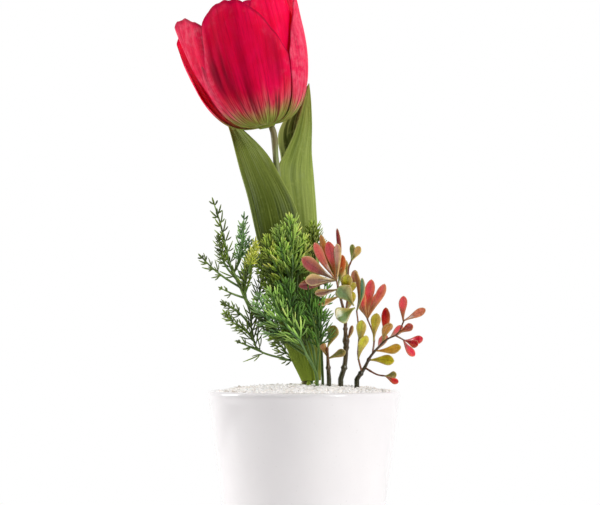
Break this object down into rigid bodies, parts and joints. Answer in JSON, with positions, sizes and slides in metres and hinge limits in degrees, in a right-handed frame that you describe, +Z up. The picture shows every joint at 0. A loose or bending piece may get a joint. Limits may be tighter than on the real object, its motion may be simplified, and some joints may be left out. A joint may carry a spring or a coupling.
{
  "type": "potted tulip",
  "caption": "Artificial red tulip with broad leaves, cut-leaved greenery and twigs of spoon-shaped leaves, standing in white stone chips in a tapered glazed pot.",
  "frame": {"origin": "centre of the pot's flat base, on the surface it stands on", "axes": "+Z up, out of the pot; -Y towards the front, the side seen in the picture; +X to the right there"},
  "size_m": [0.1288, 0.1, 0.3022],
  "materials": {
    "glaze": "white gloss glaze",
    "foam": "rigid floral foam",
    "stone": "white crushed chips",
    "petal": "printed crimson fabric, pink margins and a green base",
    "pollen": "moulded, dark stamens and a pale pistil",
    "stem_green": "grey-green moulded stem",
    "leaf_dark": "printed dark green fabric with pale streaks",
    "leaf_pale": "printed light green fabric with fine veins",
    "fern_green": "moulded green foliage, lighter at the tips",
    "twig": "moulded red, orange and olive leaves on brown twigs"
  },
  "bodies": {
    "root": {"pot": "glaze", "foam_block": "foam", "gravel": "stone", "tulip_stem": "stem_green", "tulip_bloom": "petal", "flower_centre": "pollen", "leaf_left": "leaf_dark", "leaf_right": "leaf_pale", "fern_left": "fern_green", "fern_centre": "fern_green", "fern_front": "fern_green", "fern_back": "fern_green", "fern_rear": "fern_green", "spray_short": "twig", "spray_middle": "twig", "spray_right": "twig"}
  },
  "joints": []
}
